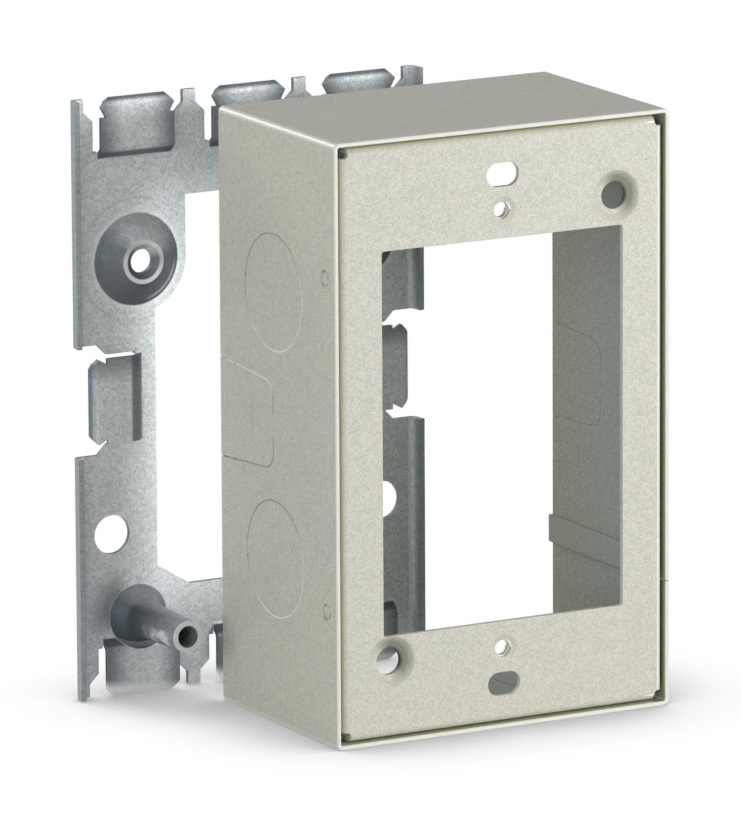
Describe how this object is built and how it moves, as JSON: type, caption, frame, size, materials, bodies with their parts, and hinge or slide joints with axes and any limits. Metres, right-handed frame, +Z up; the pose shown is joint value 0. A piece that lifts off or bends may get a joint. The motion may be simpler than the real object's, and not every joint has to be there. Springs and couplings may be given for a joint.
{
  "type": "electrical box extender",
  "caption": "Painted steel surface extension box with an open front and knockouts, beside its galvanised base plate with tongues and screw posts.",
  "frame": {"origin": "on the floor under the middle of the cover box", "axes": "+Z up, -Y towards the front of the cover box, +X to the right as seen from the front"},
  "size_m": [0.0954, 0.0603, 0.1156],
  "materials": {
    "box_paint": "textured satin enamel",
    "face_paint": "textured satin enamel",
    "zinc": "galvanised, dull spangle"
  },
  "bodies": {
    "root": {"wall_band": "box_paint", "face_pan": "face_paint", "base_plate": "zinc"}
  },
  "joints": []
}
